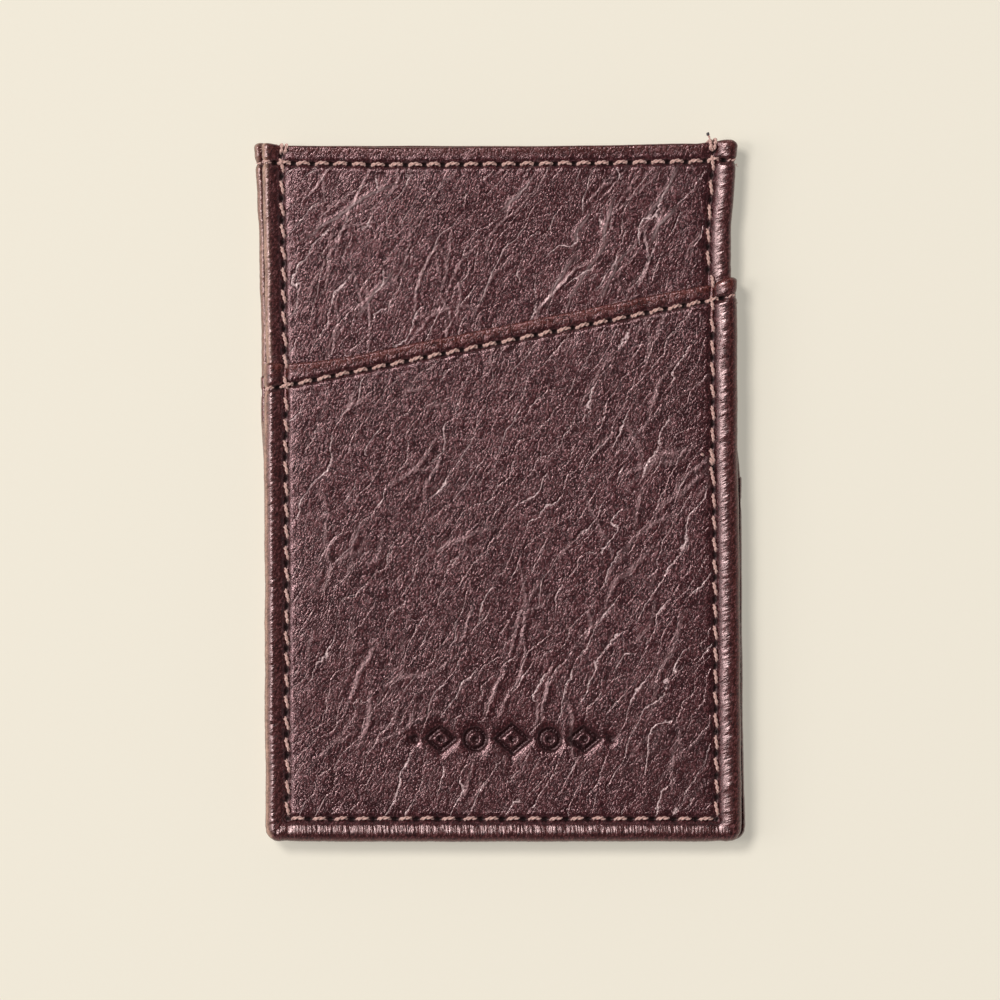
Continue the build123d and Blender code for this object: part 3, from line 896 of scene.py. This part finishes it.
class Nodes:
    """A material's node tree, built by short calls. Inputs are values or other nodes' outputs."""

    def __init__(self, name):
        self.material = bpy.data.materials.new(name)
        self.material.use_nodes = True
        self.tree = self.material.node_tree
        self.tree.nodes.clear()

    def add(self, kind, inputs=None, output=0, **settings):
        """A node with its settings and inputs, given by name or number. Returns an output."""
        node = self.tree.nodes.new("ShaderNode" + kind)
        for key, value in settings.items():
            setattr(node, key, value)
        for key, value in (inputs or {}).items():
            if isinstance(value, bpy.types.NodeSocket):
                self.tree.links.new(value, node.inputs[key])
            else:
                node.inputs[key].default_value = value
        return node.outputs[output] if node.outputs else None

    def math(self, operation, a, b=0.0, clamp=False):
        """The outcome of a Math node."""
        return self.add("Math", {0: a, 1: b}, operation=operation, use_clamp=clamp)

    def times(self, a, b):
        """a times b."""
        return self.math("MULTIPLY", a, b)

    def mix(self, share, a, b):
        """Colours a and b mixed."""
        return self.add("Mix", {0: share, 6: a, 7: b}, 2, data_type="RGBA")

    def stretch(self, value, low, high, to_low=0.0, to_high=1.0):
        """value mapped from one range to another, and clamped."""
        inputs = {0: value, 1: low, 2: high, 3: to_low, 4: to_high}
        return self.add("MapRange", inputs, clamp=True)

    def place(self, scale, turn=(0.0, 0.0, 0.0), shift=None):
        """Coordinates in mm, turned by degrees and then scaled."""
        place = self.add("TexCoord", output=3)
        if shift is not None:
            place = self.add("VectorMath", {0: place, 1: shift}, operation="ADD")
        turned = self.add("Mapping", {"Vector": place, "Rotation": [radians(t) for t in turn]})
        sizes = [s / MM for s in scale]
        return self.add("Mapping", {"Vector": turned, "Scale": sizes})

    def noise(self, scale, turn=(0.0, 0.0, 0.0), detail=2.0, rough=0.5, warp=0.0):
        """Noise with scale features to a mm, along each turned axis."""
        inputs = {"Vector": self.place(scale, turn), "Scale": 1.0, "Detail": detail,
                  "Roughness": rough, "Distortion": warp}
        return self.add("TexNoise", inputs)

    def jitter(self, scale, size):
        """Random shifts of about size mm, for the shift of place."""
        inputs = {"Vector": self.place((scale, scale, scale)), "Scale": 1.0, "Detail": 2.0}
        colour = self.add("TexNoise", inputs, 1)
        centred = self.add("VectorMath", {0: colour, 1: (0.5, 0.5, 0.5)}, operation="SUBTRACT")
        return self.add("VectorMath", {0: centred, 3: 4 * size * MM}, operation="SCALE")

    def creases(self, turn, spacing, width, shift):
        """Thin wavering lines that run turn degrees up from the x axis, mm apart and mm wide."""
        turned = (0.0, 0.0, -turn)
        size = 1 / spacing
        across = self.add("SeparateXYZ", {0: self.place((size, size, size), turned, shift)}, 1)
        bend = self.noise((0.09, 0.14, 0.1), turned)
        phase = self.math("ADD", across, self.times(bend, 10 / spacing))
        gap = self.math("ABSOLUTE", self.math("SUBTRACT", self.math("FRACT", phase), 0.5))
        return self.stretch(gap, 0.0, width / 2 / spacing, 1.0, 0.0)

    def attribute(self, name):
        """One of the masks that the mesh carries."""
        return self.add("Attribute", output=2, attribute_name=name)

    def bump(self, height, distance, strength=1.0, normal=None):
        """The normal, bumped by a height of up to distance mm."""
        inputs = {"Height": height, "Distance": distance * MM, "Strength": strength}
        if normal is not None:
            inputs["Normal"] = normal
        return self.add("Bump", inputs)

    def finish(self, **inputs):
        """Ends the tree in a Principled shader with these inputs."""
        named = {key.replace("_", " "): value for key, value in inputs.items()}
        shader = self.add("BsdfPrincipled", named)
        self.add("OutputMaterial", {"Surface": shader})
        return self.material


def rgb(red, green, blue):
    """A linear colour from an sRGB one in 0 to 255."""
    channels = []
    for value in (red, green, blue):
        v = value / 255
        channels.append(v / 12.92 if v <= 0.04045 else ((v + 0.055) / 1.055) ** 2.4)
    return (*channels, 1.0)


LEATHER_MASKS = ("worn", "roll", "hole", "crease_glint", "pale", "tooled", "loose", "foot")


def leather_grain(n):
    """Height of the leather's pebbles, drawn out along the skin's own direction."""
    grain = n.noise((2.1, 3.6, 2.8), (0.0, 0.0, -66.0), detail=1.5, rough=0.6, warp=0.4)
    cells = n.add("TexVoronoi", {"Vector": n.place((4.2, 4.2, 4.2)), "Scale": 1.0,
                                 "Randomness": 1.0}, 0, feature="DISTANCE_TO_EDGE")
    pebble = n.stretch(cells, 0.0, 0.3)
    return n.math("ADD", n.times(pebble, 0.3), n.stretch(grain, 0.22, 0.78))


def crease_lines(n, loose):
    """Hair-thin creases where the leather is loose: longer ones in some places, short in others."""
    shift = n.jitter(1.8, 0.16)
    spread = n.noise((0.1, 0.36, 0.3), (0.0, 0.0, -60.0), detail=2.0)
    long_lines = n.times(n.creases(61, 3.1, 0.38, shift), n.stretch(spread, 0.48, 0.6))
    short_lines = n.times(n.creases(54, 2.3, 0.32, shift), n.stretch(spread, 0.52, 0.4))
    return n.times(n.math("MAXIMUM", long_lines, n.times(short_lines, 0.6)), loose)


def roll_wrinkles(n, foot):
    """Height of the wrinkles across the rolled edges, which turn with the edge at the foot."""
    side = n.noise((0.4, 1.5, 0.6), (0.0, 0.0, -20.0), detail=2.0, rough=0.55)
    bottom = n.noise((2.9, 0.35, 0.6), (0.0, 0.0, -4.0), detail=2.0, rough=0.6)
    wrinkle = n.add("Mix", {0: foot, 2: side, 3: bottom}, data_type="FLOAT")
    return n.times(wrinkle, n.stretch(foot, 0.0, 1.0, 1.5, 1.2))


def leather_colour(n, mask, height, lines, blotches, dark, base, warm, rub):
    """Colour of the leather: patchy dye, painted shade in the pits and needle holes, painted
    highlights, and all that wear and tooling add.
    """
    patches = n.noise((0.11, 0.11, 0.11), detail=3.0)
    # painted highlights: the glints along the creases' lit walls and the hair-thin crease lines
    painted_glints = n.math("MAXIMUM", n.times(mask["crease_glint"], 0.65), n.stretch(lines, 0.5, 0.95))
    layers = (
        (n.times(n.stretch(blotches, 0.3, 0.7), 0.5), warm),
        (n.times(mask["roll"], 0.7), rgb(80, 40, 38)),
        (n.times(mask["worn"], 0.65), rub),
        # painted shade in the grain's pits
        (n.stretch(height, 0.25, 0.85, 1.0, 0.0), rgb(30, 13, 16)),
        # painted highlight on the grain's tips
        (n.stretch(height, 0.75, 1.1, 0.0, 0.5), rgb(146, 100, 105)),
        # painted highlight of the creases, strongest on the grain's tips
        (n.times(painted_glints, n.stretch(height, 0.3, 0.85, 0.4, 1.0)), rgb(226, 194, 196)),
        # painted highlight along the lit left edge
        (n.times(mask["pale"], n.stretch(height, 0.2, 0.8, 0.4, 0.85)), rgb(214, 176, 156)),
        (n.times(mask["tooled"], 0.75), rgb(22, 9, 11)),
        # painted shade in the needle holes
        (n.stretch(mask["hole"], 0.15, 0.6), rgb(14, 8, 8)),
    )
    colour = n.mix(n.stretch(patches, 0.35, 0.65), dark, base)
    for share, over in layers:
        colour = n.mix(share, colour, over)
    return colour


def leather_material(name, dark, base, warm, rub):
    """Glossy pebbled leather: fine cells, small creases, and warm wear on the folds."""
    n = Nodes(name)
    mask = {key: n.attribute(key) for key in LEATHER_MASKS}
    roll = mask["roll"]
    height = leather_grain(n)
    lines = crease_lines(n, mask["loose"])
    blotches = n.noise((0.5, 0.5, 0.5), detail=2.0)
    colour = leather_colour(n, mask, height, lines, blotches, dark, base, warm, rub)

    gloss = n.math("MAXIMUM", lines, mask["crease_glint"])
    rough = n.stretch(blotches, 0.3, 0.7, 0.18, 0.24)
    rough = n.math("ADD", rough, n.times(mask["hole"], 0.4))
    rough = n.math("SUBTRACT", rough, n.times(gloss, 0.05))
    rough = n.math("ADD", rough, n.times(roll, 0.04))
    tint = n.mix(n.math("MAXIMUM", gloss, n.times(roll, 0.4)), rgb(255, 209, 214),
                 rgb(255, 238, 236))
    shine = n.math("SUBTRACT", 1.0, n.times(mask["tooled"], 0.6))
    shine = n.math("SUBTRACT", shine, mask["hole"], clamp=True)

    smooth = n.math("SUBTRACT", 1.0, n.times(roll, 0.7))
    normal = n.bump(n.times(height, smooth), 0.033)
    normal = n.bump(n.times(lines, -1.0), 0.068, normal=normal)
    normal = n.bump(n.times(roll_wrinkles(n, mask["foot"]), roll), 0.085, normal=normal)
    return n.finish(Base_Color=colour, Roughness=rough, Normal=normal, Specular_IOR_Level=shine,
                    Specular_Tint=tint)


def thread_material(name, dark, light):
    """Bonded twisted thread with fine fibres."""
    n = Nodes(name)
    fibre = n.noise((5.0, 5.0, 5.0), detail=3.0, rough=0.7)
    colour = n.mix(n.stretch(fibre, 0.3, 0.7), dark, light)
    normal = n.bump(n.noise((12.0, 12.0, 12.0), detail=2.0), 0.03, 0.8)
    return n.finish(Base_Color=colour, Roughness=0.55, Normal=normal, Specular_IOR_Level=0.5,
                    Sheen_Weight=0.5, Sheen_Roughness=0.4)


def bead_material(name, dark, light):
    """Melted thread: dark and shiny, with a rough skin."""
    n = Nodes(name)
    skin = n.noise((7.0, 7.0, 7.0), detail=2.0)
    return n.finish(Base_Color=n.mix(n.stretch(skin, 0.35, 0.65), dark, light), Roughness=0.3,
                    Normal=n.bump(skin, 0.05))


def cloth_material(name, dark, light):
    """Thin plain-woven lining."""
    n = Nodes(name)
    yarns = {"Vector": n.place((1.0, 1.0, 1.0)), "Scale": 1.1, "Distortion": 0.4}
    warp = n.add("TexWave", yarns, 1, wave_type="BANDS", bands_direction="X")
    weft = n.add("TexWave", yarns, 1, wave_type="BANDS", bands_direction="Y")
    weave = n.times(warp, weft)
    slub = n.noise((0.6, 4.0, 1.0), detail=3.0)
    colour = n.mix(n.stretch(n.math("ADD", weave, slub), 0.4, 1.3), dark, light)
    normal = n.bump(weave, 0.05, 0.8)
    return n.finish(Base_Color=colour, Roughness=0.75, Normal=normal, Sheen_Weight=0.3)


def board_material(name, dark, light):
    """Bonded-fibre board."""
    n = Nodes(name)
    fibres = n.noise((1.5, 1.5, 6.0), detail=5.0, rough=0.7)
    colour = n.mix(n.stretch(fibres, 0.3, 0.7), dark, light)
    normal = n.bump(fibres, 0.03, 0.7)
    return n.finish(Base_Color=colour, Roughness=0.85, Normal=normal)


def floor_material(name, colour, glow):
    """Plain pale paper that glows by itself, which lightens the shadows cast on it. glow is the
    share of its brightness that is its own.
    """
    n = Nodes(name)
    tooth = n.noise((1.2, 1.2, 1.2), detail=3.0)
    shade = n.mix(n.stretch(tooth, 0.3, 0.7, 0.0, 0.03), colour, rgb(250, 244, 232))
    dimmed = n.mix(glow, shade, (0, 0, 0, 1))
    return n.finish(Base_Color=dimmed, Roughness=0.9, Specular_IOR_Level=0.1,
                    Emission_Color=shade, Emission_Strength=glow)


# --- the wallet -------------------------------------------------------------------------


def make_thread(node, parts, material):
    """A sewn thread made of its stitches, in place of a CAD node."""
    points, faces = merge(parts)
    make_object(node + "_plies", points, faces, material, [node])


def sew_mouth(side, layer, seam, material):
    """Needle and bobbin threads of a hem's seam."""
    holes = hem_holes(side, layer)
    crown = crown_height(side) if (side, layer) == ("rear", "pocket") else 0.0
    slant, bow = (0.06, 0.2) if layer == "panel" else (0.17, 0.12)
    needle = seam_stitches(side, layer, on_board(side, layer), holes, crown, slant, bow,
                           40 + len(seam))
    low, high = cad_box(f"{side}_{layer}_lining")
    under = low[2] - MID if side == "front" else MID - high[2]
    bobbin = seam_stitches(side, layer, inside_board(under - 0.12), holes[1:-1], 0.0, 0.05, 0.0,
                           60 + len(seam))
    make_thread(f"{side}_{seam}_seam_needle_thread", needle, material)
    make_thread(f"{side}_{seam}_seam_bobbin_thread", bobbin, material)


def sew_edge(material):
    """Threads of the seam that joins the two boards."""
    needle = edge_thread("front")
    needle += [mouth_loop(LEFT_SEAM_X, 0.15, -0.8), mouth_loop(LEFT_SEAM_X + 0.5, 0.35, -0.75)]
    needle += [mouth_loop(RIGHT_SEAM_X, 0.1, 0.0), mouth_loop(RIGHT_SEAM_X - 0.45, -0.2, -0.1)]
    needle += back_tack() + loose_ends()
    make_thread("edge_seam_needle_thread", needle, material)
    make_thread("edge_seam_bobbin_thread", edge_thread("rear"), material)


def layer_mouth(side, layer, high):
    """Function that gives the height of a lining's or stiffener's mouth edge."""
    if layer == "panel":
        return lambda a: np.full(np.shape(a), high[1])
    drop = float(mouth_height(side, np.array(high[0]))) - high[1] + 0.15
    return lambda a: mouth_height(side, a) - drop


def build_layer(side, layer, kind, material):
    """One lining or stiffener, and its size and mouth."""
    node = f"{side}_{layer}_{kind}"
    low, high = cad_box(node)
    bottom = low[2] - MID if side == "front" else MID - high[2]
    mouth = layer_mouth(side, layer, high)
    made = plate(side, layer, node + "_sheet", high[0], low[1], mouth, bottom, high[2] - low[2],
                 material, node)
    return made, (high - low)[:2], float(mouth(np.array(0.0))) - low[1]


def build_layers(side, lining, board):
    """The lining and stiffener of a board's panel and pocket."""
    for layer in ("panel", "pocket"):
        cloth, (width, length), middle = build_layer(side, layer, "lining", lining)
        stiffener, _, _ = build_layer(side, layer, "stiffener", board)


def build_wallet():
    """Every piece of the wallet."""
    panel = leather_material("panel leather", rgb(49, 18, 22), rgb(60, 24, 28), rgb(79, 37, 39),
                             rgb(92, 49, 43))
    pocket = leather_material("pocket leather", rgb(45, 16, 19), rgb(56, 21, 25), rgb(74, 34, 35),
                              rgb(106, 50, 38))
    thread = thread_material("thread", rgb(160, 113, 106), rgb(234, 196, 186))
    lining = cloth_material("lining cloth", rgb(38, 24, 22), rgb(66, 44, 38))
    board = board_material("stiffener board", rgb(120, 96, 70), rgb(168, 142, 110))
    for side in ("front", "rear"):
        leather(panel_skin(side), panel)
        leather(pocket_skin(side), pocket)
        build_layers(side, lining, board)
        sew_mouth(side, "panel", "mouth", thread)
        sew_mouth(side, "pocket", "pocket", thread)
    sew_edge(thread)
    melted_end(bead_material("melted thread", rgb(38, 34, 46), rgb(72, 60, 66)))


# --- floor, light and camera ------------------------------------------------------------

VIEW_MM = 1000 / 6.98  # what the picture's width takes in, at the face of the wallet
CAMERA_HEIGHT = 1.6  # metres
CAMERA_Y = -1.146
SENSOR = 36.0

# Lamps: azimuth, height in degrees, distance and width in metres, power in watts, colour
LAMPS = {
    "key": (-48, 61, 3.6, 1.02, 81.0, (1.0, 0.97, 0.93)),
    "side": (-86, 59, 3.6, 0.9, 31.5, (1.0, 0.97, 0.94)),
    "fill": (-88, 36, 3.9, 2.1, 27.0, (1.0, 0.96, 0.92)),
}


def studio_world():
    """Soft light from all round, dimmer straight overhead so that dark leather stays dark."""
    world = bpy.data.worlds.new("studio")
    world.use_nodes = True
    tree = world.node_tree
    place = tree.nodes.new("ShaderNodeTexCoord")
    split = tree.nodes.new("ShaderNodeSeparateXYZ")
    shade = tree.nodes.new("ShaderNodeMapRange")
    for socket, value in zip(("From Min", "From Max", "To Min", "To Max"), (0.3, 0.7, 0.4, 0.05)):
        shade.inputs[socket].default_value = value
    background = tree.nodes["Background"]
    background.inputs["Color"].default_value = (1.0, 0.985, 0.965, 1.0)
    tree.links.new(place.outputs["Generated"], split.inputs[0])
    tree.links.new(split.outputs["Z"], shade.inputs["Value"])
    tree.links.new(shade.outputs[0], background.inputs["Strength"])
    return world


def area_lamp(name, azimuth, elevation, distance, size, power, colour):
    """A round soft lamp aimed at the wallet."""
    light = bpy.data.lights.new(name, "AREA")
    light.shape, light.size, light.energy, light.color = "DISK", size, power, colour
    lamp = bpy.data.objects.new(name, light)
    bpy.context.scene.collection.objects.link(lamp)
    az, el = radians(azimuth), radians(elevation)
    lamp.location = (distance * cos(el) * sin(az), distance * cos(el) * cos(az),
                     distance * sin(el))
    lamp.rotation_euler = (-lamp.location).to_track_quat("-Z", "Y").to_euler()


def overhead_camera():
    """The camera, straight above the wallet and aimed down."""
    camera = bpy.data.cameras.new("camera")
    top = POCKET_HIGH[2] * MM
    camera.sensor_width = SENSOR
    camera.lens = SENSOR * (CAMERA_HEIGHT - top) / (VIEW_MM * MM)
    camera.clip_start, camera.clip_end = 0.05, 20.0
    eye = bpy.data.objects.new("camera", camera)
    bpy.context.scene.collection.objects.link(eye)
    eye.location = (0, CAMERA_Y * MM, CAMERA_HEIGHT)
    return eye


def build_stage():
    """Floor, lamps, surrounding light and camera."""
    bpy.ops.mesh.primitive_plane_add(size=6.0, location=(0, 0, -0.00002))
    floor = bpy.context.object
    floor.name = "floor"
    floor.data.materials.append(floor_material("floor paper", rgb(240, 234, 219), 0.43))
    for name, settings in LAMPS.items():
        area_lamp(name, *settings)
    scene = bpy.context.scene
    scene.world = studio_world()
    scene.camera = overhead_camera()
    scene.view_settings.view_transform = "Standard"


build_wallet()
build_stage()
